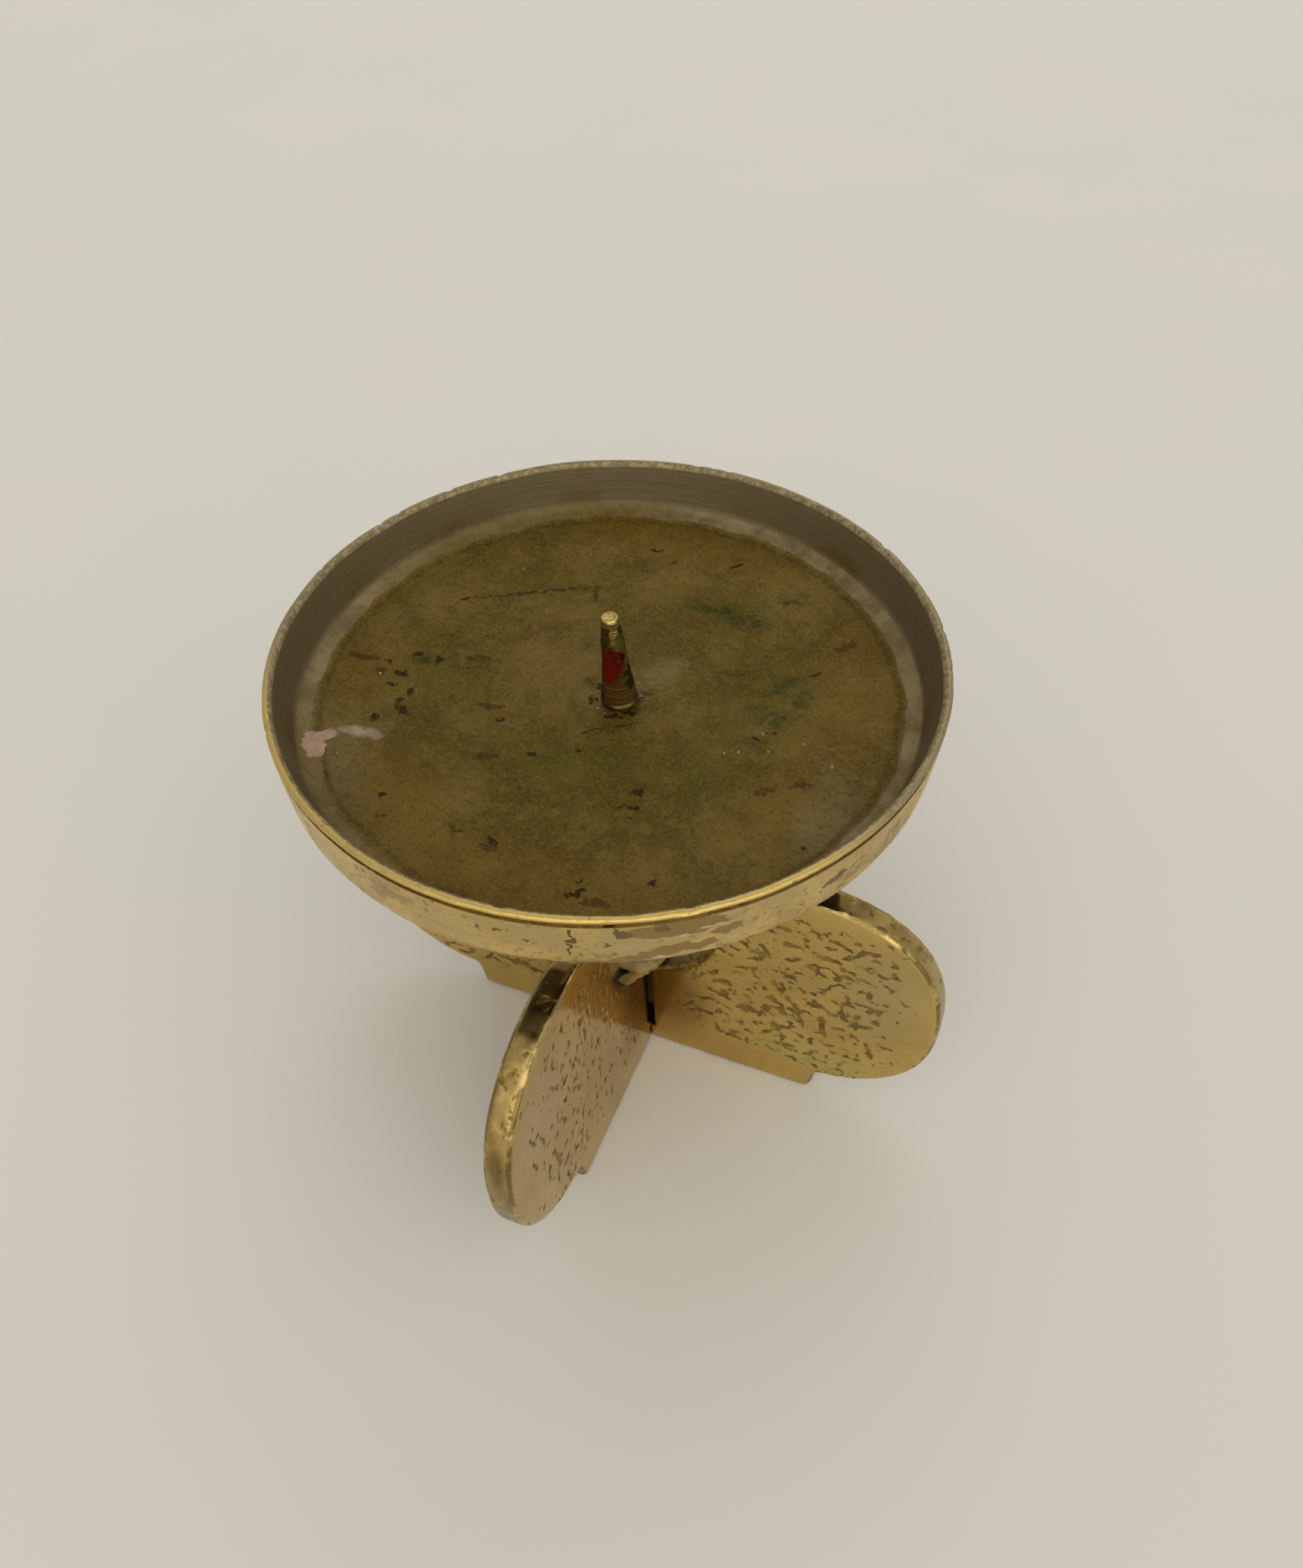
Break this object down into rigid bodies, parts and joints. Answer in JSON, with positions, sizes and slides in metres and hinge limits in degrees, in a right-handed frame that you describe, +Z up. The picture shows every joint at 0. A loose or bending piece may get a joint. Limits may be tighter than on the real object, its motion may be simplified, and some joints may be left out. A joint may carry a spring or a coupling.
{
  "type": "pricket candle holder",
  "caption": "Low brass pricket candle holder: shallow round dish with a central spike, on a slim stem in the crossing of two halved petal-shaped base plates.",
  "frame": {"origin": "on the ground under the crossing of the two base plates", "axes": "+Z up; +X along the long plate, the plate whose bridge runs unbroken along the ground; Y along the cross plate"},
  "size_m": [0.1134, 0.1136, 0.1045],
  "materials": {
    "dish_brass": "worn satin brass outside, brown-green patina inside",
    "pricket_brass": "turned brass, stained by red wax and verdigris",
    "stem_brass": "turned satin brass",
    "plate_brass": "pale gold cast brass with brown pits and rubbed edges",
    "solder": "dull grey soft solder"
  },
  "bodies": {
    "root": {"dish": "dish_brass", "pricket": "pricket_brass", "stem": "stem_brass", "long_plate": "plate_brass", "cross_plate": "plate_brass", "solder_joint": "solder"}
  },
  "joints": []
}
